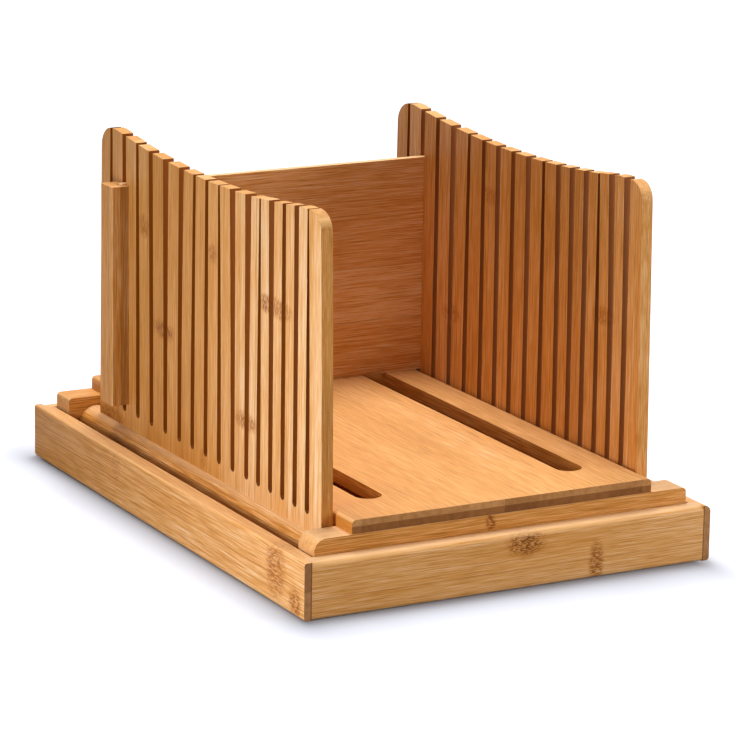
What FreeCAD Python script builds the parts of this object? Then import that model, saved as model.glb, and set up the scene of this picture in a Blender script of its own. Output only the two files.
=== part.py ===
import FreeCAD, Part
import os

import Sketcher
from FreeCAD import Placement, Rotation, Vector

# Bamboo bread slicer: a shallow crumb tray, a slotted cutting board on two rails that lifts
# out of the tray, two comb-shaped guides that fold outwards on round hinge rods, and a stop
# panel that drops into one pair of slots.
#
# Millimetres. Origin at the middle of the tray's underside; -Y is the end where the knife
# starts, +X is right, +Z is up. Every slot is cut in both guides at the same place along Y.

doc = FreeCAD.newDocument("bread_slicer_guide")

SIZES = [
    ("tray_width", 254.0, "10 in across the crumb tray"),
    ("tray_length", 355.6, "14 in front to back"),
    ("tray_height", 32.0, "outside height of the tray"),
    ("tray_wall", 9.0, "thickness of the tray's four boards"),
    ("tray_tongue", 4.5, "side board left standing outside the end boards"),
    ("tray_rim_radius", 4.0, "round-over along the outer top edge"),
    ("left_rim_radius", 1.5, "the same on the left board, only just eased"),
    ("tray_foot_radius", 2.0, "round-over along the outer bottom edge"),
    ("floor_lift", 4.0, "underside of the floor panel above the table"),
    ("floor_thickness", 4.0, "tray floor panel"),
    ("floor_entry", 3.5, "floor panel's edge inside its groove"),
    ("groove_play", 0.4, "groove deeper and wider than the panel by this"),
    ("tray_clearance", 0.5, "rails to the tray's end boards"),
    ("rail_clearance", 1.5, "rail ends to the tray's side boards"),
    ("rail_thickness", 18.0, "rails, front to back"),
    ("rod_cover", 5.6, "top of the rails above the hinge rods"),
    ("rail_soft_radius", 7.0, "front rail's top left corner"),
    ("rail_crisp_radius", 2.5, "the rails' other three top corners"),
    ("board_thickness", 7.7, "cutting board"),
    ("board_inset", 0.6, "board ends behind the rails' outer faces"),
    ("board_edge_radius", 2.5, "round-over along the board's long top edges"),
    ("crumb_slot_width", 15.8, "slots that let crumbs fall into the tray"),
    ("crumb_slot_edge", 30.2, "board's long edge to the middle of the slot"),
    ("crumb_slot_margin", 31.4, "board end to slot end"),
    ("guide_thickness", 6.9, "comb board"),
    ("guide_gap", 1.9, "cutting board's edge to the guide's inner face"),
    ("guide_height", 210.5, "top of the guides above the table"),
    ("guide_front_gap", 0.5, "front rail to the guide's front edge"),
    ("guide_rear_gap", 14.3, "guide's rear edge to the rear rail"),
    ("hinge_margin", 17.45, "rail's end to the hinge axis"),
    ("front_taper", 4.0, "guide's front edge leans back by this, foot to crest"),
    ("rear_taper", 3.0, "guide's rear edge leans forward by this"),
    ("front_corner_radius", 10.0, "guide's top front corner"),
    ("rear_corner_radius", 13.0, "guide's top rear corner"),
    ("scoop_depth", 7.5, "how far the middle of the top edge dips"),
    ("scoop_land", 21.0, "level length at each end of the top edge, corner and all"),
    ("slot_width", 5.0, "knife slots"),
    ("slot_undercut", 4.7, "knife slots below the top of the cutting board"),
    ("first_slat", 14.7, "solid width in front of the first slot"),
    ("least_last_slat", 12.0, "solid width behind the last slot, or more"),
    ("thin_pitch", 14.6, "slot spacing for thin slices"),
    ("medium_pitch", 17.2, "slot spacing for medium slices"),
    ("thick_pitch", 18.7, "slot spacing for thick slices"),
    ("rod_radius", 11.4, "hinge rod under each guide"),
    ("rod_lift", 4.6, "hinge rods above the tray floor"),
    ("rod_end_gap", 0.5, "rod end to rail"),
    ("socket_web", 1.0, "wood between the guide's foot and the pins"),
    ("pin_radius", 2.5, "steel hinge pins"),
    ("pin_in_rod", 10.0, "pressed into the rod"),
    ("pin_in_rail", 9.5, "turning in the rail"),
    ("pin_chamfer", 0.5, "pin ends"),
    ("pin_play", 0.05, "radial running clearance of a pin in its rail"),
    ("pin_end_play", 0.5, "bottom of the hole past the pin's end"),
    ("stop_play", 0.2, "stop panel to each side of its slots"),
    ("stop_drop", 29.5, "top of the stop panel below the top of the guides"),
    ("stop_lift", 0.2, "stop panel above the cutting board"),
    ("stop_corner_radius", 2.0, "stop panel's top corners"),
    ("batten_width", 15.9, "batten, front to back"),
    ("batten_thickness", 10.7, "batten, out from the guide"),
    ("batten_lift", 0.8, "bottom of the batten above the cutting board"),
    ("batten_drop", 0.8, "top of the batten below the top of the stop panel"),
    ("batten_lip", 3.7, "batten in front of its groove"),
    ("batten_groove", 4.0, "depth of the groove for the stop panel"),
    ("batten_edge_radius", 1.0, "batten's two outer edges"),
    ("batten_end_play", 0.4, "stop panel's end to the bottom of the groove"),
    ("screw_spacing", 120.0, "screws in each rail, centre to centre"),
    ("screw_radius", 2.0, "screw shank"),
    ("screw_play", 0.2, "shank hole in the rail, larger by this all round"),
    ("screw_head_radius", 4.0, "screw head"),
    ("screw_head_height", 2.6, "screw head"),
    ("screw_bore_play", 0.6, "counterbore larger than the head all round"),
    ("screw_bore_depth", 15.0, "counterbore from the rail's underside"),
    ("screw_skin", 2.2, "board left above the screws"),
]

# Places that follow from the sizes above. "floor_top" is where everything stands.
PLACES = [
    ("floor_top", "floor_lift + floor_thickness"),
    ("inner_half_width", "tray_width / 2 - tray_wall"),
    ("inner_half_length", "tray_length / 2 - tray_wall"),
    ("groove_depth", "floor_entry + groove_play"),
    ("groove_top", "floor_lift + floor_thickness + groove_play"),
    ("end_board_length", "tray_width - 2 * tray_tongue"),
    ("rod_height", "floor_top + rod_lift + rod_radius"),
    ("rail_height", "rod_lift + 2 * rod_radius + rod_cover"),
    ("rail_half_length", "inner_half_width - rail_clearance"),
    ("rail_outer_y", "inner_half_length - tray_clearance"),
    ("rail_inner_y", "rail_outer_y - rail_thickness"),
    ("rail_top", "floor_top + rail_height"),
    ("board_half_length", "rail_outer_y - board_inset"),
    ("hinge_x", "rail_half_length - hinge_margin"),
    ("board_half_width", "hinge_x - guide_thickness / 2 - guide_gap"),
    ("board_top", "rail_top + board_thickness"),
    ("crumb_slot_half", "crumb_slot_width / 2"),
    ("crumb_slot_x", "board_half_width - crumb_slot_edge"),
    ("crumb_slot_end", "board_half_length - crumb_slot_margin - crumb_slot_half"),
    ("guide_front", "guide_front_gap - rail_inner_y"),
    ("guide_rear", "rail_inner_y - guide_rear_gap"),
    ("slot_room", "guide_rear - guide_front - first_slat - slot_width - least_last_slat"),
    ("group_steps", "floor(slot_room / (thin_pitch + medium_pitch + thick_pitch))"),
    ("first_slot", "guide_front + first_slat + slot_width / 2"),
    ("medium_start", "first_slot + group_steps * thin_pitch + medium_pitch"),
    ("thick_start", "medium_start + (group_steps - 1) * medium_pitch + thick_pitch"),
    ("last_slot", "thick_start + (group_steps - 1) * thick_pitch"),
    ("stop_slot", "last_slot - thick_pitch"),
    ("socket_floor", "pin_radius + socket_web"),
    ("guide_top", "guide_height - rod_height"),
    ("slot_floor", "board_top - slot_undercut - rod_height"),
    ("slot_half", "slot_width / 2"),
    ("slot_open", "guide_top + slot_width"),
    ("crest_front", "guide_front + front_taper"),
    ("crest_rear", "guide_rear - rear_taper"),
    ("scoop_middle", "(crest_front + crest_rear) / 2"),
    ("scoop_half", "(crest_rear - crest_front) / 2 - scoop_land"),
    ("scoop_radius", "(scoop_half ^ 2 + scoop_depth ^ 2) / (2 * scoop_depth)"),
    ("rod_half_length", "rail_inner_y - rod_end_gap"),
    ("pin_hole_radius", "pin_radius + pin_play"),
    ("pin_hole_depth", "pin_in_rail + rod_end_gap + pin_end_play"),
    ("pin_length", "pin_in_rod + rod_end_gap + pin_in_rail"),
    ("pin_foot", "rod_half_length - pin_in_rod"),
    ("guide_outer", "guide_thickness / 2"),
    ("batten_outer", "guide_outer + batten_thickness"),
    ("batten_front", "stop_slot - slot_half - batten_lip"),
    ("batten_rear", "batten_front + batten_width"),
    ("batten_groove_floor", "guide_outer + batten_groove"),
    ("batten_foot", "board_top + batten_lift"),
    ("batten_height", "guide_height - stop_drop - batten_drop - batten_foot"),
    ("stop_thickness", "slot_width - 2 * stop_play"),
    ("stop_half_width", "hinge_x + batten_groove_floor - batten_end_play"),
    ("stop_bottom", "board_top + stop_lift"),
    ("stop_height", "guide_height - stop_drop - stop_bottom"),
    ("screw_hole_radius", "screw_radius + screw_play"),
    ("screw_bore_radius", "screw_head_radius + screw_bore_play"),
    ("screw_head_seat", "floor_top + screw_bore_depth"),
    ("screw_y", "rail_outer_y - rail_thickness / 2"),
    ("screw_bite", "board_thickness - screw_skin"),
    ("screw_length", "rail_height - screw_bore_depth + screw_bite"),
]

sheet = doc.addObject("Spreadsheet::Sheet", "dims")
for row, (alias, value, note) in enumerate(SIZES, start=1):
    sheet.set(f"A{row}", note)
    sheet.set(f"B{row}", str(value))
    sheet.setAlias(f"B{row}", alias)
for row, (alias, formula) in enumerate(PLACES, start=1):
    sheet.set(f"D{row}", "=" + formula)
    sheet.setAlias(f"D{row}", alias)
doc.recompute()


def formula(text):
    """The expression with every size's alias pointing at the sheet."""
    words = []
    for word in text.replace("(", "( ").replace(")", " )").split():
        words.append(f"dims.{word}" if word[0].isalpha() else word)
    return " ".join(words)


def value(text):
    return float(sheet.evalExpression(text))


def new_body(label):
    body = doc.addObject("PartDesign::Body", label)
    body.Label = label
    return body


def move(body, x="0", y="0", z="0", turn=0):
    """Stand the body at a place given by expressions, turned about Z by so many degrees."""
    body.Placement = Placement(Vector(), Rotation(Vector(0, 0, 1), turn))
    for axis, text in zip("xyz", (x, y, z)):
        body.setExpression(f"Placement.Base.{axis}", formula(text))


def new_sketch(body, name, plane, offset=None):
    sketch = body.newObject("Sketcher::SketchObject", name)
    origin_plane = [part for part in body.Origin.OriginFeatures if part.Role == plane][0]
    sketch.AttachmentSupport = [(origin_plane, "")]
    sketch.MapMode = "FlatFace"
    if offset:
        sketch.setExpression("AttachmentOffset.Base.z", formula(offset))
    return sketch


def bind(sketch, kind, geometry, vertex, text):
    """Hold one coordinate of a sketch point, measured from the origin."""
    index = sketch.addConstraint(
        Sketcher.Constraint(kind, -1, 1, geometry, vertex, value(text)))
    sketch.setExpression(f"Constraints[{index}]", formula(text))


def outline(sketch, points, arcs=()):
    """Close a loop through the points, each a pair of expressions.

    arcs maps the number of a point to (centre x, centre y, turn): the stretch that starts at
    that point is an arc about that centre, turning left (1) or right (-1).
    """
    arcs = dict(arcs)
    first = sketch.GeometryCount
    spots = [Vector(value(x), value(y), 0) for x, y in points]
    joints = []
    for number, spot in enumerate(spots):
        after = spots[(number + 1) % len(spots)]
        if number in arcs:
            centre = Vector(value(arcs[number][0]), value(arcs[number][1]), 0)
            circle = Part.Circle(centre, Vector(0, 0, 1), (spot - centre).Length)
            ends = (spot, after) if arcs[number][2] > 0 else (after, spot)
            sketch.addGeometry(Part.ArcOfCircle(circle, *[circle.parameter(e) for e in ends]))
            joints.append((1, 2) if arcs[number][2] > 0 else (2, 1))
        else:
            sketch.addGeometry(Part.LineSegment(spot, after))
            joints.append((1, 2))
    for number, (x, y) in enumerate(points):
        here = first + number
        after = first + (number + 1) % len(points)
        sketch.addConstraint(Sketcher.Constraint(
            "Coincident", here, joints[number][1], after, joints[after - first][0]))
        bind(sketch, "DistanceX", here, joints[number][0], x)
        bind(sketch, "DistanceY", here, joints[number][0], y)
    for number, (x, y, _) in arcs.items():
        chord = spots[(number + 1) % len(spots)] - spots[number]
        if abs(chord.x) > abs(chord.y):
            bind(sketch, "DistanceY", first + number, 3, y)
        else:
            bind(sketch, "DistanceX", first + number, 3, x)


def rectangle(sketch, left, right, bottom, top):
    outline(sketch, [(left, bottom), (right, bottom), (right, top), (left, top)])


def circle(sketch, x, y, radius):
    index = sketch.addGeometry(Part.Circle(
        Vector(value(x), value(y), 0), Vector(0, 0, 1), value(radius)))
    bind(sketch, "DistanceX", index, 3, x)
    bind(sketch, "DistanceY", index, 3, y)
    ring = sketch.addConstraint(Sketcher.Constraint("Radius", index, value(radius)))
    sketch.setExpression(f"Constraints[{ring}]", formula(radius))


def pad(body, sketch, name, length, symmetric=False, reverse=False):
    feature = body.newObject("PartDesign::Pad", name)
    feature.Profile = sketch
    feature.SideType = "Symmetric" if symmetric else "One side"
    feature.Reversed = reverse
    feature.setExpression("Length", formula(length))
    doc.recompute()
    return feature


def pocket(body, sketch, name, length=None, symmetric=False, reverse=False):
    """Cut the sketch out of the body, right through where no length is given."""
    before = body.Shape.Volume
    feature = body.newObject("PartDesign::Pocket", name)
    feature.Profile = sketch
    feature.SideType = "Symmetric" if symmetric else "One side"
    feature.Reversed = reverse
    if length:
        feature.setExpression("Length", formula(length))
    else:
        feature.Type = "ThroughAll"
    doc.recompute()
    if body.Shape.Volume > before - 1e-3:
        raise RuntimeError(f"{body.Label}: {name} cuts nothing")
    return feature


def mirrored(body, feature, name, plane):
    copy = body.newObject("PartDesign::Mirrored", name)
    origin_plane = [part for part in body.Origin.OriginFeatures if part.Role == plane][0]
    copy.Originals = [feature]
    copy.MirrorPlane = (origin_plane, [""])
    body.Tip = copy
    doc.recompute()
    return copy


def row_of(body, feature, name, axis, pitch, count):
    """Repeat the feature along one of the body's axes, so many in all."""
    pattern = body.newObject("PartDesign::LinearPattern", name)
    direction = [part for part in body.Origin.OriginFeatures if part.Role == axis][0]
    pattern.Originals = [feature]
    pattern.Direction = (direction, [""])
    pattern.Mode = "Spacing"
    pattern.setExpression("Offset", formula(pitch))
    pattern.setExpression("Occurrences", formula(count))
    body.Tip = pattern
    doc.recompute()
    return pattern


def edges_at(shape, **where):
    """Names of the straight edges that lie on all the given coordinates."""
    found = []
    for number, edge in enumerate(shape.Edges, start=1):
        ends = [vertex.Point for vertex in edge.Vertexes]
        if edge.Curve.TypeId == "Part::GeomLine" and all(
                abs(getattr(end, axis) - place) < 1e-4
                for end in ends for axis, place in where.items()):
            found.append(f"Edge{number}")
    return found


def fillet(body, base, name, radius, edges):
    feature = body.newObject("PartDesign::Fillet", name)
    feature.Base = (base, edges)
    feature.setExpression("Radius", formula(radius))
    doc.recompute()
    return feature


# Crumb tray. The side boards run the full length; the end boards sit in rebates cut in their
# ends, so a tongue of end grain shows at each corner. The floor panel lies in a groove cut
# round the inside. Each board is drawn with its outer face on the plane x = 0 or y = 0.

def tray_board(label, plane, length):
    body = new_body(label)
    profile = new_sketch(body, f"{label}_profile", plane)
    outline(profile, [
        ("0", "0"), ("tray_wall", "0"),
        ("tray_wall", "floor_lift"), ("tray_wall - groove_depth", "floor_lift"),
        ("tray_wall - groove_depth", "groove_top"), ("tray_wall", "groove_top"),
        ("tray_wall", "tray_height"), ("0", "tray_height")])
    return body, pad(body, profile, f"{label}_board", length, symmetric=True)


def round_outer_edges(body, base, axis, rim_radius="tray_rim_radius"):
    label = body.Label
    rim = fillet(body, base, f"{label}_rim", rim_radius,
                 edges_at(base.Shape, z=value("tray_height"), **{axis: 0}))
    fillet(body, rim, f"{label}_foot", "tray_foot_radius",
           edges_at(rim.Shape, z=0, **{axis: 0}))


def tray_side(side, turn, rim_radius):
    label = f"tray_{side}_side"
    body, board = tray_board(label, "XZ_Plane", "tray_length")
    corner = new_sketch(body, f"{label}_corner", "XY_Plane")
    rectangle(corner, "tray_tongue", "2 * tray_wall", "inner_half_length", "tray_length")
    rebate = pocket(body, corner, f"{label}_rebate", reverse=True)
    both = mirrored(body, rebate, f"{label}_rebates", "XZ_Plane")
    round_outer_edges(body, both, "x", rim_radius)
    move(body, x="tray_width / -2" if turn == 0 else "tray_width / 2", turn=turn)


def tray_end(end, turn):
    label = f"tray_{end}"
    body, board = tray_board(label, "YZ_Plane", "end_board_length")
    round_outer_edges(body, board, "y")
    move(body, y="tray_length / -2" if turn == 0 else "tray_length / 2", turn=turn)


def tray_floor():
    body = new_body("tray_floor")
    plan = new_sketch(body, "tray_floor_plan", "XY_Plane")
    rectangle(plan, "0 - inner_half_width - floor_entry", "inner_half_width + floor_entry",
              "0 - inner_half_length - floor_entry", "inner_half_length + floor_entry")
    pad(body, plan, "tray_floor_panel", "floor_thickness")
    move(body, z="floor_lift")


# Base that lifts out of the tray: two rails across it, the cutting board screwed to them from
# below. Each rail is drawn with its outer face on y = 0 and its underside on z = 0; left and
# right are as seen from that outer face.

def rail(end, turn, left_radius, right_radius):
    label = f"{end}_rail"
    half = "rail_half_length"
    body = new_body(label)
    profile = new_sketch(body, f"{label}_profile", "XZ_Plane")
    outline(profile, [
        (f"0 - {half}", "0"), (half, "0"), (half, f"rail_height - {right_radius}"),
        (f"{half} - {right_radius}", "rail_height"), (f"{left_radius} - {half}", "rail_height"),
        (f"0 - {half}", f"rail_height - {left_radius}")],
        {2: (f"{half} - {right_radius}", f"rail_height - {right_radius}", 1),
         4: (f"{left_radius} - {half}", f"rail_height - {left_radius}", 1)})
    pad(body, profile, f"{label}_block", "rail_thickness", reverse=True)

    pivot = new_sketch(body, f"{label}_pivot", "XZ_Plane", offset="0 - rail_thickness")
    circle(pivot, "hinge_x", "rod_height - floor_top", "pin_hole_radius")
    pivot_hole = pocket(body, pivot, f"{label}_pivot_hole", "pin_hole_depth", reverse=True)
    mirrored(body, pivot_hole, f"{label}_pivot_holes", "YZ_Plane")

    for name, size, depth in (("bore", "screw_bore_radius", "screw_bore_depth"),
                              ("shank", "screw_hole_radius", None)):
        ring = new_sketch(body, f"{label}_{name}", "XY_Plane")
        circle(ring, "screw_spacing / 2", "rail_thickness / 2", size)
        hole = pocket(body, ring, f"{label}_{name}_hole", depth, reverse=True)
        mirrored(body, hole, f"{label}_{name}_holes", "YZ_Plane")
    move(body, y="0 - rail_outer_y" if turn == 0 else "rail_outer_y", z="floor_top", turn=turn)


def cutting_board():
    body = new_body("cutting_board")
    plan = new_sketch(body, "board_plan", "XY_Plane")
    rectangle(plan, "0 - board_half_width", "board_half_width",
              "0 - board_half_length", "board_half_length")
    block = pad(body, plan, "board_block", "board_thickness")
    edges = [name for side in (-1, 1) for name in edges_at(
        block.Shape, x=side * value("board_half_width"), z=value("board_thickness"))]
    fillet(body, block, "board_edges", "board_edge_radius", edges)

    left = "crumb_slot_x - crumb_slot_half"
    right = "crumb_slot_x + crumb_slot_half"
    slot = new_sketch(body, "crumb_slot", "XY_Plane")
    outline(slot, [
        (left, "0 - crumb_slot_end"), (right, "0 - crumb_slot_end"),
        (right, "crumb_slot_end"), (left, "crumb_slot_end")],
        {0: ("crumb_slot_x", "0 - crumb_slot_end", 1),
         2: ("crumb_slot_x", "crumb_slot_end", 1)})
    cut = pocket(body, slot, "crumb_slot_cut", reverse=True)
    mirrored(body, cut, "crumb_slots", "YZ_Plane")

    pilot = new_sketch(body, "screw_pilot", "XY_Plane")
    circle(pilot, "screw_spacing / 2", "screw_y", "screw_radius")
    circle(pilot, "screw_spacing / 2", "0 - screw_y", "screw_radius")
    holes = pocket(body, pilot, "screw_pilot_holes", "screw_bite", reverse=True)
    mirrored(body, holes, "screw_pilots", "YZ_Plane")
    move(body, z="rail_top")


def rail_screws(end, place):
    """Two pan-head screws, heads down in the rail's counterbores."""
    label = f"{end}_rail_screws"
    body = new_body(label)
    body.AllowCompound = True
    head = new_sketch(body, f"{label}_head", "XY_Plane")
    shank = new_sketch(body, f"{label}_shank", "XY_Plane")
    for x in ("screw_spacing / 2", "screw_spacing / -2"):
        circle(head, x, "0", "screw_head_radius")
        circle(shank, x, "0", "screw_radius")
    pad(body, head, f"{label}_heads", "screw_head_height", reverse=True)
    pad(body, shank, f"{label}_shanks", "screw_length")
    move(body, y=place, z="screw_head_seat")


# Guides. Each is a comb board glued into a groove along the top of a round rod, and the rod
# turns on two steel pins in the rails. Guide, rod, pins and batten are drawn about the hinge
# axis: x across, y along the rod, z up. The guides are mirror images across the board.

def guide(side, sign):
    label = f"{side}_guide"
    body = new_body(label)
    profile = new_sketch(body, f"{label}_profile", "YZ_Plane")
    outline(profile, [
        ("guide_front", "socket_floor"), ("guide_rear", "socket_floor"),
        ("crest_rear", "guide_top"), ("scoop_middle + scoop_half", "guide_top"),
        ("scoop_middle - scoop_half", "guide_top"), ("crest_front", "guide_top")],
        {3: ("scoop_middle", "guide_top - scoop_depth + scoop_radius", -1)})
    board = pad(body, profile, f"{label}_board", "guide_thickness", symmetric=True)
    for end in ("front", "rear"):
        corner = edges_at(board.Shape, y=value(f"crest_{end}"), z=value("guide_top"))
        board = fillet(body, board, f"{label}_{end}_corner", f"{end}_corner_radius", corner)

    groups = (("thin", "first_slot", "group_steps + 1"), ("medium", "medium_start", "group_steps"),
              ("thick", "thick_start", "group_steps"))
    for group, start, count in groups:
        slot = new_sketch(body, f"{label}_{group}_slot", "YZ_Plane")
        outline(slot, [
            (f"{start} - slot_half", "slot_floor + slot_half"),
            (f"{start} + slot_half", "slot_floor + slot_half"),
            (f"{start} + slot_half", "slot_open"), (f"{start} - slot_half", "slot_open")],
            {0: (start, "slot_floor + slot_half", 1)})
        cut = pocket(body, slot, f"{label}_{group}_cut", symmetric=True)
        row_of(body, cut, f"{label}_{group}_slots", "Y_Axis", f"{group}_pitch", count)
    move(body, x=f"{sign} * hinge_x", z="rod_height")


def hinge_rod(side, sign):
    label = f"{side}_hinge_rod"
    body = new_body(label)
    section = new_sketch(body, f"{label}_section", "XZ_Plane")
    circle(section, "0", "0", "rod_radius")
    pad(body, section, f"{label}_dowel", "2 * rod_half_length", symmetric=True)

    socket = new_sketch(body, f"{label}_socket", "XY_Plane", offset="socket_floor")
    rectangle(socket, "0 - guide_outer", "guide_outer", "guide_front", "guide_rear")
    pocket(body, socket, f"{label}_groove", reverse=True)

    end = new_sketch(body, f"{label}_end", "XZ_Plane", offset="0 - rod_half_length")
    circle(end, "0", "0", "pin_radius")
    hole = pocket(body, end, f"{label}_pin_hole", "pin_in_rod", reverse=True)
    mirrored(body, hole, f"{label}_pin_holes", "XZ_Plane")
    move(body, x=f"{sign} * hinge_x", z="rod_height")


def hinge_pin(side, sign, end, turn):
    """Drawn pointing along +Y from its foot in the rod; the front one is turned round."""
    label = f"{side}_{end}_pin"
    body = new_body(label)
    section = new_sketch(body, f"{label}_section", "XZ_Plane")
    circle(section, "0", "0", "pin_radius")
    shaft = pad(body, section, f"{label}_shaft", "pin_length", reverse=True)
    chamfer = body.newObject("PartDesign::Chamfer", f"{label}_ends")
    chamfer.Base = (shaft, [f"Edge{number}" for number, edge in enumerate(shaft.Shape.Edges, 1)
                            if edge.Curve.TypeId == "Part::GeomCircle"])
    chamfer.setExpression("Size", formula("pin_chamfer"))
    move(body, x=f"{sign} * hinge_x", y="pin_foot" if turn == 0 else "0 - pin_foot",
         z="rod_height", turn=turn)


def batten(side, sign):
    """Cleat glued outside the guide, with a groove in line with the slot for the stop."""
    label = f"{side}_batten"
    body = new_body(label)
    near, far = f"{sign} * guide_outer", f"{sign} * batten_outer"
    groove = f"{sign} * batten_groove_floor"
    lip = "batten_front + batten_lip"
    plan = new_sketch(body, f"{label}_plan", "XY_Plane")
    outline(plan, [
        (near, "batten_front"), (far, "batten_front"), (far, "batten_rear"),
        (near, "batten_rear"), (near, f"{lip} + slot_width"), (groove, f"{lip} + slot_width"),
        (groove, lip), (near, lip)])
    block = pad(body, plan, f"{label}_block", "batten_height")
    edges = [name for y in ("batten_front", "batten_rear")
             for name in edges_at(block.Shape, x=value(far), y=value(y))]
    fillet(body, block, f"{label}_edges", "batten_edge_radius", edges)
    move(body, x=f"{sign} * hinge_x", z="batten_foot")


# Stop panel: lies across the board in the last slot but one of both guides, its ends in the
# battens' grooves.

def stop_panel():
    half, radius = "stop_half_width", "stop_corner_radius"
    body = new_body("stop_panel")
    face = new_sketch(body, "stop_face", "XZ_Plane")
    outline(face, [
        (f"0 - {half}", "0"), (half, "0"),
        (half, f"stop_height - {radius}"), (f"{half} - {radius}", "stop_height"),
        (f"{radius} - {half}", "stop_height"), (f"0 - {half}", f"stop_height - {radius}")],
        {2: (f"{half} - {radius}", f"stop_height - {radius}", 1),
         4: (f"{radius} - {half}", f"stop_height - {radius}", 1)})
    pad(body, face, "stop_sheet", "stop_thickness", symmetric=True)
    move(body, y="stop_slot", z="stop_bottom")


tray_side("left", 0, "left_rim_radius")
tray_side("right", 180, "tray_rim_radius")
tray_end("front", 0)
tray_end("rear", 180)
tray_floor()
rail("front", 0, "rail_soft_radius", "rail_crisp_radius")
rail("rear", 180, "rail_crisp_radius", "rail_crisp_radius")
cutting_board()
rail_screws("front", "0 - screw_y")
rail_screws("rear", "screw_y")
for side_name, side_sign in (("left", "-1"), ("right", "1")):
    guide(side_name, side_sign)
    hinge_rod(side_name, side_sign)
    hinge_pin(side_name, side_sign, "front", 180)
    hinge_pin(side_name, side_sign, "rear", 0)
    batten(side_name, side_sign)
stop_panel()

doc.recompute()
for item in doc.Objects:
    if "Invalid" in item.State or "Error" in item.State:
        raise RuntimeError(f"{item.Label} failed: {item.State}")

os.makedirs("parts", exist_ok=True)
for item in doc.Objects:
    if item.TypeId == "PartDesign::Body":
        if item.Shape.isNull() or not item.Shape.isValid():
            raise RuntimeError(f"{item.Label} has no sound shape")
        item.Shape.exportStep(f"parts/{item.Label}.step")
        box = item.Shape.BoundBox
        print(f"{item.Label}: {len(item.Shape.Solids)} solid, {item.Shape.Volume:.0f} mm3, "
              f"x {box.XMin:.2f} {box.XMax:.2f}, y {box.YMin:.2f} {box.YMax:.2f}, "
              f"z {box.ZMin:.2f} {box.ZMax:.2f}")
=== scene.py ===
"""Looks of the bamboo bread slicer guide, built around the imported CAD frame.

Everything is in metres in the frame of the CAD: the origin is on the table under the middle
of the tray, -Y is the front end, away from the stop panel, +X is right seen from the front,
and +Z is up.
"""
import math
from bisect import bisect
from itertools import accumulate

import bmesh
import bpy
from mathutils import Matrix, Vector


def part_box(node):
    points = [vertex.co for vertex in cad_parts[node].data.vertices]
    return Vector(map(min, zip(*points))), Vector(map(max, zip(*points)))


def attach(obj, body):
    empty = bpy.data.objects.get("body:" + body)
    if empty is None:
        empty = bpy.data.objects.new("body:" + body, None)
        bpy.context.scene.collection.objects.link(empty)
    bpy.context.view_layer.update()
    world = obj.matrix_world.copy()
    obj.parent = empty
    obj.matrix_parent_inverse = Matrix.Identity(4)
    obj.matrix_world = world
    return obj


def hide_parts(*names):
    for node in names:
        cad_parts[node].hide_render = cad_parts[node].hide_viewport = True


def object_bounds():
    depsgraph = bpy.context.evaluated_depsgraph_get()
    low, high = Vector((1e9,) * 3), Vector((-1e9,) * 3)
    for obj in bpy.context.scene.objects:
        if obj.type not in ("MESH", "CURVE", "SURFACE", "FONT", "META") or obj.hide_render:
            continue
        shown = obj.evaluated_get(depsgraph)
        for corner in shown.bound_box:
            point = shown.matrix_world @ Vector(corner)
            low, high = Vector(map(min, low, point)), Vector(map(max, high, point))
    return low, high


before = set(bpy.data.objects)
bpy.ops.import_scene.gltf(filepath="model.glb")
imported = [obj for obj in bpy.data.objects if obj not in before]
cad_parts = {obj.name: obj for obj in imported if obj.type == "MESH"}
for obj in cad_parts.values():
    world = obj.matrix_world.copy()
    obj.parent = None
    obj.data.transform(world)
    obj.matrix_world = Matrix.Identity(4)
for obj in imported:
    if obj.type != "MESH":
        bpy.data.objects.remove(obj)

cad_low, cad_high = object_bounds()
scene = bpy.context.scene
MM = 0.001


# ---------------------------------------------------------------- shader graphs


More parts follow.
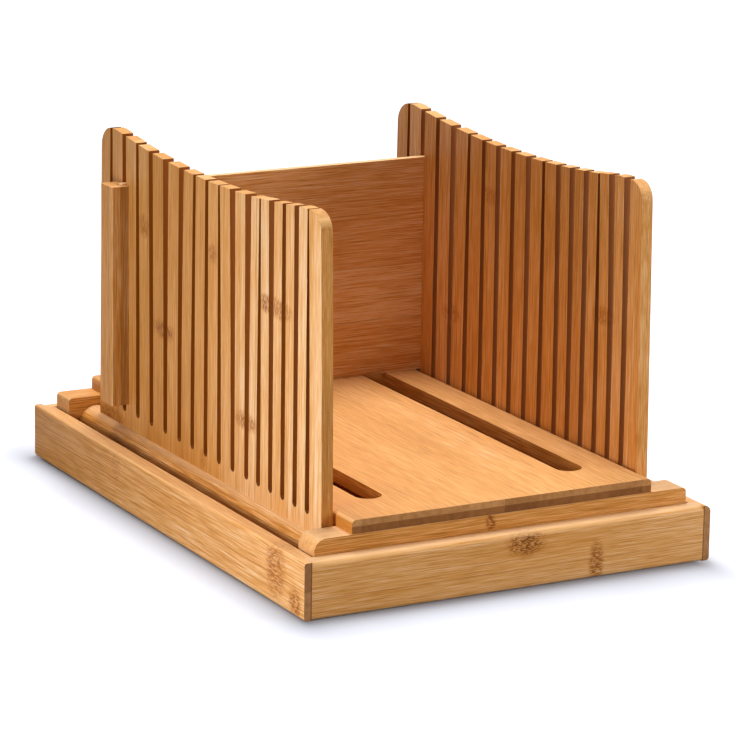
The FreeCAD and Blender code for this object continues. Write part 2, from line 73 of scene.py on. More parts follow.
class Graph:
    """The node tree of a material or a world, whose nodes are added by short calls.

    Wherever a value is wanted, either a plain number or colour or another node's output
    may be given; outputs are linked.
    """

    def __init__(self, owner):
        self.owner = owner
        owner.use_nodes = True
        self.tree = owner.node_tree
        self.tree.nodes.clear()

    def node(self, kind, inputs=None, **settings):
        made = self.tree.nodes.new("ShaderNode" + kind)
        for key, value in settings.items():
            setattr(made, key, value)
        for key, value in (inputs or {}).items():
            socket = made.inputs[key]
            if isinstance(value, bpy.types.NodeSocket):
                self.tree.links.new(value, socket)
            else:
                socket.default_value = value
        return made

    def maths(self, operation, *values, clamp=False):
        made = self.node("Math", dict(enumerate(values)), operation=operation)
        made.use_clamp = clamp
        return made.outputs[0]

    def swing(self, value, reach, about=0.0):
        """about, moved by up to half of reach to either side as value goes from 0 to 1."""
        return self.maths("MULTIPLY_ADD", self.maths("SUBTRACT", value, 0.5), reach, about)

    def ramp(self, value, low, high, to_low=0.0, to_high=1.0):
        """A smooth step of value from low to high."""
        made = self.node(
            "MapRange",
            {0: value, 1: low, 2: high, 3: to_low, 4: to_high},
            interpolation_type="SMOOTHSTEP",
        )
        return made.outputs[0]

    def blend(self, factor, first, second):
        """Mixes two colours, 0 for the first."""
        made = self.node("Mix", {0: factor, 6: first, 7: second}, data_type="RGBA")
        return made.outputs[2]

    def stretch(self, place, along, across, through=None):
        """A texture place, with its own scale along, across and through the grain."""
        scales = (along, across, across if through is None else through)
        spread = {i: self.maths("MULTIPLY", place[i], scales[i]) for i in range(3)}
        return self.node("CombineXYZ", spread).outputs[0]

    def noise(self, place, detail=2.0, roughness=0.5):
        made = self.node(
            "TexNoise",
            {"Vector": place, "Scale": 1.0, "Detail": detail, "Roughness": roughness},
        )
        return made.outputs[0]

    def seen(self):
        """1 for the camera's own rays and those by way of metal or glass, 0 for the others."""
        rays = self.node("LightPath").outputs
        indirect = self.maths("MAXIMUM", rays["Is Glossy Ray"], rays["Is Transmission Ray"])
        return self.maths("MAXIMUM", rays["Is Camera Ray"], indirect)

    def surface(self, shader, kind="Material"):
        """Makes shader the surface, with kind "World" that of a world."""
        self.node("Output" + kind, {"Surface": shader})
        return self.owner


def colour(red, green, blue):
    return (red, green, blue, 1.0)


# Bamboo, from the pale flesh of the cane to the fibres and the joints of the cane.
CREAM = colour(0.920, 0.620, 0.350)
PALE = colour(0.820, 0.415, 0.145)
HONEY = colour(0.675, 0.284, 0.054)
AMBER = colour(0.495, 0.182, 0.026)
FIBRE = colour(0.300, 0.095, 0.012)
SCAR = colour(0.420, 0.125, 0.009)
JOINT = colour(0.170, 0.046, 0.004)
# The next colour, SHADE, is painted shade for the front edges; the darker bands given as core
# use it too.
SHADE = colour(0.120, 0.042, 0.010)
# The colour of the paler rounded edges, partly rubbed wear and partly a painted highlight.
WORN_AND_HIGHLIGHT = colour(0.900, 0.540, 0.240)
# The colour of the slot walls, partly the saw's scorch and partly painted shade in the narrow
# slots.
SCORCH_AND_SHADE = colour(0.245, 0.055, 0.001)

# End grain: a pair of colours each, between which its strips and spots differ.
LIGHT_END = (colour(0.800, 0.450, 0.190), colour(0.640, 0.310, 0.100))
BROWN_END = (colour(0.520, 0.250, 0.095), colour(0.330, 0.142, 0.050))
RIGHT_END = (colour(0.500, 0.250, 0.095), colour(0.350, 0.160, 0.052))
BOARD_END = (colour(0.600, 0.290, 0.100), colour(0.400, 0.170, 0.048))
UNDER_END = (colour(0.330, 0.130, 0.034), colour(0.210, 0.075, 0.018))

# Scales of the textures, along the grain, across it and through the board, in features per
# metre or so. Where there is no third, it is the same as the second.
SWAY_SCALE = (9.0, 22.0)
BROAD_SCALE = (5.0, 260.0)
STREAK_SCALE = (12.0, 1050.0)
FIBRE_SCALE = (42.0, 2200.0)
CLOUD_SCALE = (14.0, 34.0)
RAGGED_SCALE = (160.0, 320.0)
DOT_SCALE = (380.0, 1300.0, 500.0)
SPECK_SCALE = (0.0, 1300.0)
MOTTLE_SCALE = (0.0, 260.0)

# A face's colours by its shade, and how far each texture swings the shade.
FACE_STOPS = ((0.0, CREAM), (0.26, PALE), (0.60, HONEY), (1.0, AMBER))
MIDDLE_SHADE = 0.50
STRIP_SWING = 0.22
CLOUD_SWING = 0.4
BROAD_SWING = 0.3
STREAK_SWING = 0.6
FIBRE_SWING = 2.3

# Strips: how far a seed moves them, what keeps their numbers above 0, how far apart in the
# texture two strips may lie, and how far the fibres wander from straight.
SEED_STEP = 0.37
STRIP_START = 1.0
STRIP_SLIDE = 37.0
SWAY_REACH = 1.2 * MM

# Steps, each from where it starts to where it is complete. The facing of a surface along an
# axis goes from 0 to 1.
DASH_STEP = (0.54, 0.72)
FRONT_STEP = (0.6, 0.9)
TOP_STEP = (0.65, 0.95)
GLUE_STEP = (0.45 * MM, 0.1 * MM)
DOT_STEP = (0.43, 0.57)
PATCH_STEP = (3.0, 0.4)
HEART_STEP = (1.5, 0.2)
CORNER_STEP = (0.985, 0.86)
RUB_AND_HIGHLIGHT_STEP = (0.25, 0.6)
END_STEP = (0.72, 0.86)
SPECK_STEP = (0.45, 0.2)
MOTTLE_STEP = (0.3, 0.75)
SEAM_STEP = (0.6 * MM, 0.3 * MM)
SAWN_STEP = (0.55, 0.8)
UPRIGHT_STEP = (0.45, 0.3)
SIDE_STEP = (0.7, 0.5)
FOOT_STEP = (75 * MM, 65 * MM)
ROUGH_STEP = (0.35, 1.15)

# How strong the marks are, from 0 to 1.
DASH_DARK = 0.38
MOST_STREAKS = 1.5
GLUE_DARK = 0.35
SEAM_DARK = 0.7
SPECK_DARK = 0.35
SCORCH_AND_SHADE_DARK = 0.88
MOTTLE_MIX = 0.6
LUCK_MIX = (0.9, -0.15)

# Joints of the cane: how ragged the outline is, and for the browner patch and the dark heart
# how strength counts and how much the dots add to the ground.
RAGGED_REACH = 2.2
PATCH_GAIN = 1.5
PATCH_DOTS = (0.65, 0.27)
HEART_POWER = 3
HEART_DOTS = (0.75, 0.05)

# Half widths of soft changes from one colour to the next.
LAYER_SOFT = 0.3 * MM
PLY_SOFT = 0.2 * MM
PLY_WAVE = 1.0 * MM
HALF_SOFT = 15 * MM
KERF_SOFT = 0.5 * MM

# The height where the painted shade on the front edge of a guide or batten changes colour.
HALF_UP = 120 * MM

# Relief and gloss.
STREAK_HEIGHT = 0.6
DASH_DEPTH = 0.4
BUMP_STRENGTH = 0.35
BUMP_DISTANCE = 0.12 * MM
ROUGHNESS = (0.40, 0.60)
END_ROUGHER = 0.3
CLOUD_ROUGH = 0.5
SPECULAR = 0.15


def draw_joints(g, face, place, joints):
    """Joints of the cane on a face: short dark dashes along the grain in a browner patch."""
    ragged = g.swing(g.noise(g.stretch(place, *RAGGED_SCALE), roughness=0.6), RAGGED_REACH)
    dots = g.ramp(g.noise(g.stretch(place, *DOT_SCALE), detail=1.0), *DOT_STEP)
    patch, heart = 0.0, 0.0
    for along, over, half_long, half_wide, strength in joints:
        du = g.maths("DIVIDE", g.maths("SUBTRACT", place[0], along), half_long)
        dv = g.maths("DIVIDE", g.maths("SUBTRACT", place[1], over), half_wide)
        far = g.maths("ADD", g.maths("MULTIPLY", du, du), g.maths("MULTIPLY", dv, dv))
        far = g.maths("ADD", far, ragged)
        brown = g.ramp(far, *PATCH_STEP, 0.0, min(PATCH_GAIN * strength, 1.0))
        dark = g.ramp(far, *HEART_STEP, 0.0, strength ** HEART_POWER)
        patch = g.maths("MAXIMUM", patch, brown)
        heart = g.maths("MAXIMUM", heart, dark)
    patch = g.maths("MULTIPLY", patch, g.maths("MULTIPLY_ADD", dots, *PATCH_DOTS))
    heart = g.maths("MULTIPLY", heart, g.maths("MULTIPLY_ADD", dots, *HEART_DOTS))
    return g.blend(heart, g.blend(patch, face, SCAR), JOINT)


def end_grain(g, place, luck, end, ply, seam):
    """End grain: fibres as specks, each strip a little lighter or darker."""
    specks = g.node(
        "TexVoronoi", {"Vector": g.stretch(place, *SPECK_SCALE), "Scale": 1.0}
    ).outputs["Distance"]
    mottle = g.noise(g.stretch(place, *MOTTLE_SCALE), roughness=0.6)
    mix = g.maths("ADD", g.ramp(mottle, *MOTTLE_STEP, 0.0, MOTTLE_MIX),
                  g.maths("MULTIPLY_ADD", luck, *LUCK_MIX), clamp=True)
    ends = g.blend(mix, *end)
    if ply is not None:
        wavy = g.swing(mottle, PLY_WAVE, place[2])
        under = g.ramp(wavy, ply + PLY_SOFT, ply - PLY_SOFT)
        ends = g.blend(under, ends, g.blend(mix, *UNDER_END))
    if seam is not None:
        line = g.ramp(g.maths("ABSOLUTE", g.maths("SUBTRACT", place[2], seam)), *SEAM_STEP)
        ends = g.blend(g.maths("MULTIPLY", line, SEAM_DARK), ends, JOINT)
    return g.blend(g.maths("MULTIPLY", g.ramp(specks, *SPECK_STEP), SPECK_DARK), ends, FIBRE)


def slot_scorch_and_shade(g, axes, facing, run):
    """Where the walls and bottoms of the knife slots are darkened, partly as the saw's scorch
    and partly as painted shade in the narrow slots: 1 there, else 0.
    """
    inside = g.maths("MULTIPLY", g.ramp(axes["Y"], run[0] - KERF_SOFT, run[0]),
                     g.ramp(axes["Y"], run[1] + KERF_SOFT, run[1]))
    sawn = g.maths("MULTIPLY", g.ramp(facing[1], *SAWN_STEP), g.ramp(facing[2], *UPRIGHT_STEP))
    foot = g.maths("MULTIPLY", g.ramp(facing[0], *SIDE_STEP), g.ramp(axes["Z"], *FOOT_STEP))
    return g.maths("MULTIPLY", inside, g.maths("MAXIMUM", sawn, foot))


def bamboo(name, grain, strip, across, joints=(), seed=0.0, tone=0.0, fades=(), streaks=1.0,
           end=LIGHT_END, ply=None, seam=None, kerf=None, core=None, edge=None, wear_and_highlight=0.45,
           top_highlight=0.0):
    """Laminated bamboo.

    grain and across are the axes along the fibres and across the board's face. strip is the
    width of the glued strips, and joints are those of the cane, from cane_joints. tone shifts
    the whole board towards amber, and each of fades shifts it along an axis: the axis, where
    it starts and ends, and the shift at both. streaks is how strong the streaks are.

    end is the pair of end grain colours, ply the height under which the end grain is that of
    a darker layer, and seam the place of a dark glue line in it, measured through the board.
    kerf is the run along Y whose slot walls and bottoms are darkened, partly as the saw's
    scorch and partly as painted shade in the narrow slots. core is a darker band: its run
    along X and its strength. edge is painted shade on the front edge: how much darker it is
    below HALF_UP, how much above it, and how far its tone is shifted. wear_and_highlight is
    how much paler the rounded edges are, partly as rubbed wear and partly as a painted
    highlight, and top_highlight how much paler the top is, a painted highlight of the light
    from above.
    """
    g = Graph(bpy.data.materials.new(name))
    coords = g.node("TexCoord")
    axes = g.node("SeparateXYZ", {0: coords.outputs["Object"]}).outputs
    through = ({"X", "Y", "Z"} - {grain, across}).pop()
    u, v_straight, w = (axes[a] for a in (grain, across, through))
    straight = (u, v_straight, w)

    # The fibres wander a little from straight.
    sway = g.noise(g.stretch(straight, *SWAY_SCALE), detail=1.0)
    v = g.swing(sway, SWAY_REACH, v_straight)

    # Each strip has its own colour and its own run of fibres.
    start = seed * SEED_STEP + STRIP_START
    strips = g.maths("DIVIDE", g.maths("ADD", v_straight, start), strip)
    number = g.maths("FLOOR", strips)
    chance = g.node(
        "TexWhiteNoise", {"W": g.maths("ADD", number, seed)}, noise_dimensions="1D"
    ).outputs
    luck = g.node("SeparateColor", {0: chance["Color"]}).outputs
    u_strip = g.maths("ADD", u, g.maths("MULTIPLY", chance["Value"], STRIP_SLIDE))

    place = (u_strip, v, w)
    broad = g.noise(g.stretch(place, *BROAD_SCALE), roughness=0.55)
    streak = g.noise(g.stretch(place, *STREAK_SCALE), roughness=0.65)
    fibre = g.noise(g.stretch(place, *FIBRE_SCALE), roughness=0.7)
    cloud = g.noise(g.stretch(place, *CLOUD_SCALE))

    facing = g.node("SeparateXYZ", {0: coords.outputs["Normal"]}).outputs
    upward, frontward = facing[2], g.maths("MULTIPLY", facing[1], -1.0)
    facing = [g.maths("ABSOLUTE", facing[i]) for i in range(3)]

    parts = [
        g.swing(luck[0], STRIP_SWING),
        g.swing(cloud, CLOUD_SWING),
        g.swing(broad, BROAD_SWING),
        g.swing(streak, STREAK_SWING * streaks),
        g.swing(fibre, FIBRE_SWING * streaks),
    ]
    parts += [g.ramp(axes[way], *fade) for way, *fade in fades]
    # Painted shade: front-facing surfaces are shifted towards amber.
    if edge is not None:
        parts.append(g.ramp(frontward, *FRONT_STEP, 0.0, edge[2]))
    shade = MIDDLE_SHADE + tone
    for part in parts:
        shade = g.maths("ADD", part, shade)
    ramp = g.node("ValToRGB", {0: shade})
    stops = ramp.color_ramp.elements
    stops[0].position, stops[0].color = FACE_STOPS[0]
    stops[1].position, stops[1].color = FACE_STOPS[-1]
    for at, tint in FACE_STOPS[1:-1]:
        stops.new(at).color = tint
    face = ramp.outputs[0]

    dashes = g.ramp(fibre, *DASH_STEP)
    face = g.blend(g.maths("MULTIPLY", dashes, DASH_DARK * min(streaks, MOST_STREAKS)),
                   face, FIBRE)

    # A darker band, and painted shade on the front edge.
    if core is not None:
        low, high, dark = core
        inside = g.maths("MULTIPLY",
                         g.ramp(axes["X"], low - LAYER_SOFT, low + LAYER_SOFT),
                         g.ramp(axes["X"], high + LAYER_SOFT, high - LAYER_SOFT, 0.0, dark))
        face = g.blend(inside, face, SHADE)
    if edge is not None:
        dark = g.ramp(axes["Z"], HALF_UP - HALF_SOFT, HALF_UP + HALF_SOFT, *edge[:2])
        face = g.blend(g.maths("MULTIPLY", g.ramp(frontward, *FRONT_STEP), dark), face, SHADE)

    # A thin glue line where two strips meet.
    from_edge = g.maths("PINGPONG", g.maths("FRACT", strips), 0.5)
    glue = g.ramp(g.maths("MULTIPLY", from_edge, strip), *GLUE_STEP)
    face = g.blend(g.maths("MULTIPLY", glue, GLUE_DARK), face, FIBRE)

    if joints:
        face = draw_joints(g, face, (u, v, w), joints)

    # Painted highlight: the top is made paler where the light from above falls on it.
    if top_highlight:
        face = g.blend(g.ramp(upward, *TOP_STEP, 0.0, top_highlight), face, CREAM)
    # Handled edges, which face between two axes, are made paler, partly as rubbed wear and
    # partly as a painted highlight on the round-overs.
    if wear_and_highlight:
        squarest = g.maths("MAXIMUM", facing[0], g.maths("MAXIMUM", facing[1], facing[2]))
        rub_and_highlight = g.maths("MULTIPLY", g.ramp(squarest, *CORNER_STEP), g.ramp(cloud, *RUB_AND_HIGHLIGHT_STEP))
        face = g.blend(g.maths("MULTIPLY", rub_and_highlight, wear_and_highlight), face, WORN_AND_HIGHLIGHT)

    is_end = g.ramp(facing["XYZ".index(grain)], *END_STEP)
    skin = g.blend(is_end, face, end_grain(g, straight, luck[1], end, ply, seam))
    if kerf is not None:
        # Painted shade and the saw's scorch: the slot walls and bottoms are darkened.
        scorched_and_shaded = slot_scorch_and_shade(g, axes, facing, kerf)
        skin = g.blend(g.maths("MULTIPLY", scorched_and_shaded, SCORCH_AND_SHADE_DARK), skin, SCORCH_AND_SHADE)

    height = g.maths(
        "ADD",
        g.maths("MULTIPLY", streak, STREAK_HEIGHT),
        g.maths("MULTIPLY", g.maths("SUBTRACT", 1.0, dashes), DASH_DEPTH),
    )
    bump = g.node("Bump", {"Strength": BUMP_STRENGTH, "Distance": BUMP_DISTANCE,
                           "Height": height})
    rough = g.maths("ADD", streak, g.maths("MULTIPLY", cloud, CLOUD_ROUGH))
    rough = g.ramp(rough, *ROUGH_STEP, *ROUGHNESS)
    shader = g.node(
        "BsdfPrincipled",
        {
            "Base Color": skin,
            "Roughness": g.maths("MULTIPLY_ADD", is_end, END_ROUGHER, rough),
            "Specular IOR Level": SPECULAR,
            "Normal": bump.outputs[0],
        },
    )
    return g.surface(shader.outputs[0])


# Steel: its brighter and duller colour, and the scales of its turning marks and dull spots.
BRIGHT_STEEL = colour(0.62, 0.61, 0.59)
DULL_STEEL = colour(0.42, 0.40, 0.38)
TURNED_SCALE = (500.0, 4000.0, 500.0)
DULL_SCALE = (300.0, 300.0)
TURNED_STRENGTH = 0.2
TURNED_DISTANCE = 0.03 * MM
DULL_STEP = (0.35, 0.7)
DULL_ROUGHNESS = (0.3, 0.8, 0.25, 0.5)


def steel(name):
    """Plain bright steel with fine turning marks."""
    g = Graph(bpy.data.materials.new(name))
    place = g.node("SeparateXYZ", {0: g.node("TexCoord").outputs["Object"]}).outputs
    lines = g.noise(g.stretch(place, *TURNED_SCALE))
    dull = g.noise(g.stretch(place, *DULL_SCALE), detail=3.0)
    bump = g.node("Bump", {"Strength": TURNED_STRENGTH, "Distance": TURNED_DISTANCE,
                           "Height": lines})
    shader = g.node(
        "BsdfPrincipled",
        {
            "Base Color": g.blend(g.ramp(dull, *DULL_STEP), BRIGHT_STEEL, DULL_STEEL),
            "Metallic": 1.0,
            "Roughness": g.ramp(dull, *DULL_ROUGHNESS),
            "Normal": bump.outputs[0],
        },
    )
    return g.surface(shader.outputs[0])


# ---------------------------------------------------------------- finishes for the nodes

# Widths of the glued strips.
TRAY_STRIP = 21 * MM
RAIL_STRIP = 19 * MM
BOARD_STRIP = 22 * MM
GUIDE_STRIP = 20 * MM
ROD_STRIP = 7 * MM
BATTEN_STRIP = 15 * MM
STOP_STRIP = 33 * MM

KERF_RUN = (-144 * MM, 131 * MM)
TRAY_SEAM = 122.7 * MM
BOARD_PLY = 45 * MM

# Runs of a darker band along X, on the right side, and how dark the band is.
ROD_CORE = (108.6 * MM, 112 * MM)
ROD_CORE_DARK = 0.35
BATTEN_CORE = (100 * MM, 107.8 * MM)
BATTEN_CORE_DARK = 0.4

# Painted shade on a front edge: how much darker it is below HALF_UP, above it, and its tone.
LEFT_GUIDE_FRONT_SHADE = (0.22, 0.05, 0.50)
BATTEN_FRONT_SHADE = (0.28, 0.28, 0.0)


def cane_joints(*places):
    """Joints of the cane, given in millimetres: place along the grain and across it, half
    length and half width, and then the strength."""
    return [(along * MM, over * MM, long * MM, wide * MM, strength)
            for along, over, long, wide, strength in places]


def fade(axis, low, high, at_low, at_high):
    """A change of tone along an axis, between two places given in millimetres."""
    return axis, low * MM, high * MM, at_low, at_high


LEFT_JOINTS = cane_joints(
    (149, -82, 4, 5, 0.85), (149, -97, 4, 12, 0.6), (163, -16, 4, 4, 0.6),
    (161, 74, 5, 6, 0.55), (105, 47, 4, 10, 0.95), (77, -59, 4, 10, 0.7),
    (42, -5, 4, 3, 0.4), (37, 121, 4, 14, 0.8),
)
RIGHT_JOINTS = cane_joints((128, -110, 4, 8, 0.5), (172, 20, 4, 7, 0.4), (92, 62, 4, 8, 0.4))
SIDE_JOINTS = cane_joints((-144, 20, 8, 12, 0.62), (-167, 8, 5, 6, 0.75), (60, 24, 4, 7, 0.3))
FRONT_JOINTS = cane_joints((8, 26, 9, 6, 1.0), (53, 9, 3.5, 9, 0.8))
RAIL_JOINTS = cane_joints((-9, 37, 2.5, 4, 1.0), (74, 20, 4, 8, 0.5))

SIDE_FADES = (fade("Y", -180, 0, -0.06, -0.01), fade("Y", 20, 180, 0.0, 0.31))
# Painted light: the tray's front a little lighter towards its right end.
FRONT_LIGHT_FADES = (fade("X", 0, 120, 0.0, -0.05),)
ROD_FADES = (fade("Y", -180, 180, -0.06, 0.30),)
# Painted shade: the cutting board darker towards its left side and on its left edge, and lighter
# towards its right.
BOARD_SHADE_FADES = (fade("X", -95, -60, 0.10, 0.0), fade("X", -90, 80, 0.25, -0.06))
COMB_FADES = (fade("Y", -144, -128, -0.28, 0.0), fade("Y", -50, -5, -0.16, 0.10))

MATERIALS = {
    "tray_left_side": bamboo("tray_left_bamboo", "Y", TRAY_STRIP, "Z", SIDE_JOINTS, seed=1.0,
                             tone=0.02, streaks=0.85, fades=SIDE_FADES, end=BROWN_END,
                             seam=-TRAY_SEAM, top_highlight=0.3),
    "tray_right_side": bamboo("tray_right_bamboo", "Y", TRAY_STRIP, "Z", seed=2.0,
                              end=RIGHT_END, seam=TRAY_SEAM, top_highlight=0.3),
    "tray_front": bamboo("tray_front_bamboo", "X", TRAY_STRIP, "Z", FRONT_JOINTS, seed=3.0,
                         tone=-0.04, streaks=0.7, fades=FRONT_LIGHT_FADES, top_highlight=0.6),
    "tray_rear": bamboo("tray_rear_bamboo", "X", TRAY_STRIP, "Z", seed=4.0, top_highlight=0.3),
    "tray_floor": bamboo("tray_floor_bamboo", "X", TRAY_STRIP, "Y", seed=5.0),
    "front_rail": bamboo("front_rail_bamboo", "X", RAIL_STRIP, "Z", RAIL_JOINTS, seed=6.0,
                         tone=0.2, top_highlight=0.5),
    "rear_rail": bamboo("rear_rail_bamboo", "X", RAIL_STRIP, "Z", seed=7.0, tone=0.2,
                        top_highlight=0.1),
    "cutting_board": bamboo("board_bamboo", "Y", BOARD_STRIP, "X", seed=8.0, tone=0.10,
                            fades=BOARD_SHADE_FADES, end=BOARD_END, ply=BOARD_PLY, top_highlight=0.2),
    "left_guide": bamboo("left_guide_bamboo", "Z", GUIDE_STRIP, "Y", LEFT_JOINTS, seed=9.0,
                         streaks=0.7, fades=COMB_FADES, kerf=KERF_RUN, edge=LEFT_GUIDE_FRONT_SHADE),
    "right_guide": bamboo("right_guide_bamboo", "Z", GUIDE_STRIP, "Y", RIGHT_JOINTS,
                          seed=10.0, tone=-0.02, streaks=0.8, kerf=KERF_RUN),
    "left_hinge_rod": bamboo("left_rod_bamboo", "Y", ROD_STRIP, "X", seed=11.0, tone=0.1,
                             fades=ROD_FADES, streaks=1.4, wear_and_highlight=0.0, top_highlight=0.4,
                             core=(-ROD_CORE[1], -ROD_CORE[0], ROD_CORE_DARK)),
    "right_hinge_rod": bamboo("right_rod_bamboo", "Y", ROD_STRIP, "X", seed=12.0, tone=0.1,
                              streaks=1.4, wear_and_highlight=0.0, top_highlight=0.4,
                              core=(*ROD_CORE, ROD_CORE_DARK)),
    "left_batten": bamboo("left_batten_bamboo", "Z", BATTEN_STRIP, "Y", seed=13.0,
                          edge=BATTEN_FRONT_SHADE,
                          core=(-BATTEN_CORE[1], -BATTEN_CORE[0], BATTEN_CORE_DARK)),
    "right_batten": bamboo("right_batten_bamboo", "Z", BATTEN_STRIP, "Y", seed=14.0,
                           edge=BATTEN_FRONT_SHADE, core=(*BATTEN_CORE, BATTEN_CORE_DARK)),
    "stop_panel": bamboo("stop_bamboo", "X", STOP_STRIP, "Z", seed=15.0, tone=-0.27,
                         streaks=0.9, top_highlight=0.4),
}
pin_steel = steel("pin_steel")
screw_steel = steel("screw_steel")

# How far apart the points are that weld into one, and how wide and fine the round-overs are,
# on edges sharper than EDGE_ANGLE. The larger FLATNESS, the flatter the big faces look.
WELD_REACH = 0.001 * MM
EDGE_WIDTH = 0.5 * MM
EDGE_SEGMENTS = 2
EDGE_ANGLE = math.radians(50)
FLATNESS = 100


def soften(piece):
    """Small round-overs on the hard edges, the flat faces left flat."""
    weld = piece.modifiers.new("weld", "WELD")
    weld.merge_threshold = WELD_REACH
    bevel = piece.modifiers.new("soft_edges", "BEVEL")
    bevel.width = EDGE_WIDTH
    bevel.segments = EDGE_SEGMENTS
    bevel.limit_method = "ANGLE"
    bevel.angle_limit = EDGE_ANGLE
    bevel.use_clamp_overlap = True
    flat = piece.modifiers.new("flat_faces", "WEIGHTED_NORMAL")
    flat.weight = FLATNESS


for name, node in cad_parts.items():
    finish = MATERIALS.get(name) or (screw_steel if "screw" in name else pin_steel)
    for slot in node.material_slots:
        slot.material = finish
    if name in MATERIALS:
        soften(node)


# ---------------------------------------------------------------- guides with leaning slats

# In millimetres: the middles of the knife slots along Y, from the thin slices at the front to
# the thick ones, half a slot's width, and the height where the slots start.
SLOTS = list(accumulate([14.6] * 5 + [17.2] * 5 + [18.7] * 5, initial=-132.6))
SLOT_HALF = 2.5
SLOT_FOOT = 46.0

# How far each slat has sprung along Y, in millimetres, LEAN_RUN above the foot of the slots.
# Of the first and the last slat only the edge at the slot has moved. The stop's slot, the
# last but one, stays straight.
LEAN_RUN = 144.0
LEAN_POWER = 1.6
LEAN = {
    "left": (3.4, 0.6, 1.0, 0.4, 1.6, -1.15, 1.0, 2.7, 0.3, -0.7, -2.3, -1.0, 1.0, 1.35,
             0.0, 0.0, -1.5),
    "right": (1.6, 2.8, 3.8, 1.25, 1.75, 2.3, 2.4, 0.7, 1.55, 1.2, 1.5, 0.65, -0.85, 0.5,
              0.0, 0.0, -2.0),
}

# The heights, in millimetres, where the slats get points so that they can bend.
BENDS = (60, 80, 100, 120, 140, 160, 175, 190, 203)
SAME_POINT = 0.001 * MM
SAME_PLANE = math.radians(0.05)


def comb(side):
    """The guide's board with its slats sprung out of true, as cut bamboo springs."""
    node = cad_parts[f"{side}_guide"]
    low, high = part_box(f"{side}_guide")
    front, rear = low[1] / MM, high[1] / MM
    shape = bmesh.new()
    shape.from_mesh(node.data)
    bmesh.ops.remove_doubles(shape, verts=shape.verts, dist=SAME_POINT)
    bmesh.ops.dissolve_limit(shape, angle_limit=SAME_PLANE, verts=shape.verts,
                             edges=shape.edges)
    for height in BENDS:
        every = shape.verts[:] + shape.edges[:] + shape.faces[:]
        bmesh.ops.bisect_plane(shape, geom=every, dist=SAME_POINT,
                               plane_co=(0, 0, height * MM), plane_no=(0, 0, 1))
    for vert in shape.verts:
        y, z = vert.co.y / MM, vert.co.z / MM
        number = bisect(SLOTS, y)
        lean = LEAN[side][number]
        if number == 0:
            lean *= (y - front) / (SLOTS[0] - SLOT_HALF - front)
        elif number == len(SLOTS):
            lean *= (rear - y) / (rear - SLOTS[-1] - SLOT_HALF)
        rise = max(0.0, z - SLOT_FOOT) / LEAN_RUN
        vert.co.y += lean * rise ** LEAN_POWER * MM
    bmesh.ops.recalc_face_normals(shape, faces=shape.faces)
    for face in shape.faces:
        face.smooth = True
        face.material_index = 0
    mesh = bpy.data.meshes.new(f"{side}_comb")
    shape.to_mesh(mesh)
    shape.free()
    mesh.materials.clear()
    mesh.materials.append(MATERIALS[f"{side}_guide"])
    piece = bpy.data.objects.new(f"{side}_comb", mesh)
    scene.collection.objects.link(piece)
    soften(piece)
    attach(piece, f"{side}_wing")
    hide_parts(f"{side}_guide")


comb("left")
comb("right")


# ---------------------------------------------------------------- floor, light, camera

FLOOR_HALF = 12.0
FLOOR_PAINT = colour(0.325, 0.345, 0.39)

# The floor's own brightness, as the camera sees it, fades in with distance from the tray's
# foot: a painted shadow around the foot, on top of the lamps' own shadow.
GLOW_FADE = 40 * MM
GLOW_TINT = colour(0.955, 0.935, 0.985)

# How many times faster it does so to the left of the tray, and to its right, so that the
# painted shadow is narrower there. The rectangle that the distance is measured from ends at
# the tray's foot to the left and the front, and twice SHIFT inside it to the right and the
# rear.
SIDEWAYS = (1.8, 2.5)
SIDE_SOFT = 10 * MM
SHIFT = (5 * MM, 6 * MM)

g = Graph(bpy.data.materials.new("studio_floor"))
place = g.node("SeparateXYZ", {0: g.node("TexCoord").outputs["Object"]}).outputs
# Painted shadow: the floor's glow is dimmed close to the tray's foot.
past = []
for i in range(2):
    off = g.maths("ABSOLUTE", g.maths("ADD", place[i], SHIFT[i]))
    past.append(g.maths("MAXIMUM", g.maths("SUBTRACT", off, cad_high[i] - SHIFT[i]), 0.0))
past[0] = g.maths("MULTIPLY", past[0], g.ramp(place[0], -SIDE_SOFT, SIDE_SOFT, *SIDEWAYS))
away = g.maths("SQRT", g.maths("ADD", g.maths("MULTIPLY", past[0], past[0]),
                               g.maths("MULTIPLY", past[1], past[1])))
glow = g.maths("SUBTRACT", 1.0, g.maths("EXPONENT", g.maths("DIVIDE", away, -GLOW_FADE)))
paint = g.node("BsdfDiffuse", {"Color": FLOOR_PAINT})
lift = g.node("Emission", {"Color": GLOW_TINT, "Strength": g.maths("MULTIPLY", g.seen(), glow)})
both = g.node("AddShader", {0: paint.outputs[0], 1: lift.outputs[0]})
floor_paint = g.surface(both.outputs[0])

mesh = bpy.data.meshes.new("studio_floor")
mesh.from_pydata(
    [(-FLOOR_HALF, -FLOOR_HALF, 0), (FLOOR_HALF, -FLOOR_HALF, 0),
     (FLOOR_HALF, FLOOR_HALF, 0), (-FLOOR_HALF, FLOOR_HALF, 0)],
    [], [(0, 1, 2, 3)],
)
mesh.materials.append(floor_paint)
floor = bpy.data.objects.new("studio_floor", mesh)
scene.collection.objects.link(floor)

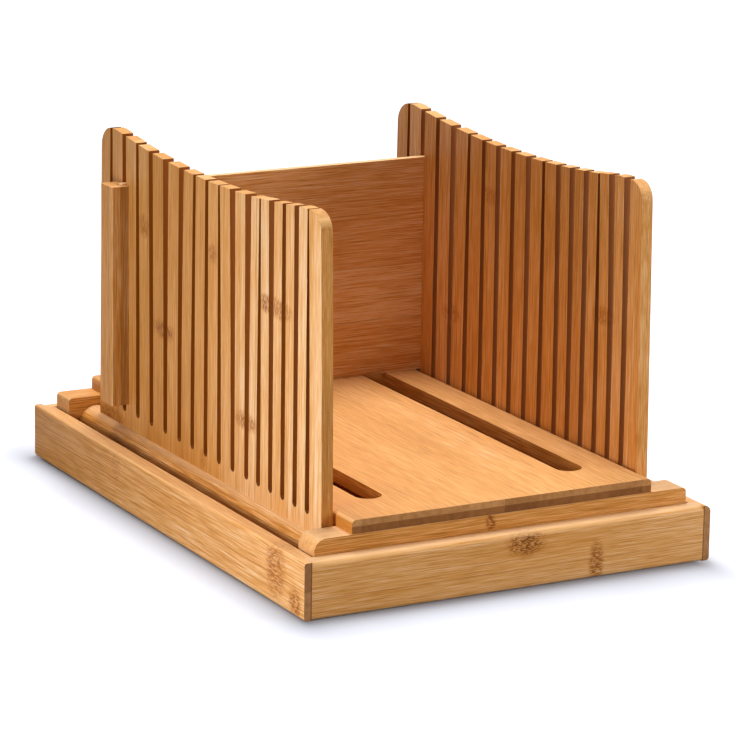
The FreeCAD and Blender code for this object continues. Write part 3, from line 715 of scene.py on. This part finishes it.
# The world is white to look at, and lights the object only a little.
WHITE = colour(1.0, 1.0, 1.0)
AMBIENT = 0.12
g = Graph(bpy.data.worlds.new("studio"))
ambient = g.node("Background", {"Color": WHITE, "Strength": AMBIENT})
white = g.node("Background", {"Color": WHITE, "Strength": 1.0})
choose = g.node("MixShader", {0: g.seen(), 1: ambient.outputs[0], 2: white.outputs[0]})
scene.world = g.surface(choose.outputs[0], "World")

# Lamps: name, place, what it faces, width, height, and power in watts.
LAMPS = (
    ("key", (-0.47, -0.19, 0.13), (-0.11, -0.17, 0.07), 0.16, 0.16, 1.19),
    ("overhead", (0.0, -0.1, 1.4), (0.0, 0.0, 0.0), 1.0, 1.0, 3.5),
    ("back", (0.1, 0.45, 1.7), (0.0, 0.0, 0.0), 0.8, 0.8, 31.0),
    ("front_fill", (0.95, -0.95, 0.35), (0.0, -0.1, 0.08), 0.6, 0.5, 9.5),
)
for name, place, aim, width, height, power in LAMPS:
    data = bpy.data.lights.new(name, "AREA")
    data.shape = "RECTANGLE"
    data.size, data.size_y = width, height
    data.energy = power
    lamp = bpy.data.objects.new(name, data)
    lamp.location = place
    lamp.rotation_euler = (Vector(aim) - Vector(place)).to_track_quat("-Z", "Y").to_euler()
    lamp.visible_camera = False
    scene.collection.objects.link(lamp)

# The camera of the picture: place, viewing direction, the direction of its right side, and
# its lens, sensor and clipping.
CAMERA_PLACE = (-0.98968, -1.83112, 0.61851)
CAMERA_FORWARD = Vector((0.46389, 0.84957, -0.25106))
CAMERA_RIGHT = Vector((0.87956, -0.47552, 0.01606))
SENSOR_MM = 36.0
LENS_MM = 178.84
CLIP = (0.05, 60.0)

camera_data = bpy.data.cameras.new("picture_camera")
camera_data.sensor_fit = "HORIZONTAL"
camera_data.sensor_width = SENSOR_MM
camera_data.lens = LENS_MM
camera_data.clip_start, camera_data.clip_end = CLIP
camera = bpy.data.objects.new("picture_camera", camera_data)
forward = CAMERA_FORWARD.normalized()
right = (CAMERA_RIGHT - CAMERA_RIGHT.dot(forward) * forward).normalized()
up = right.cross(forward)
turn = Matrix((right, up, -forward)).transposed()
camera.matrix_world = Matrix.Translation(CAMERA_PLACE) @ turn.to_4x4()
scene.collection.objects.link(camera)
scene.camera = camera
scene.view_settings.view_transform = "Standard"
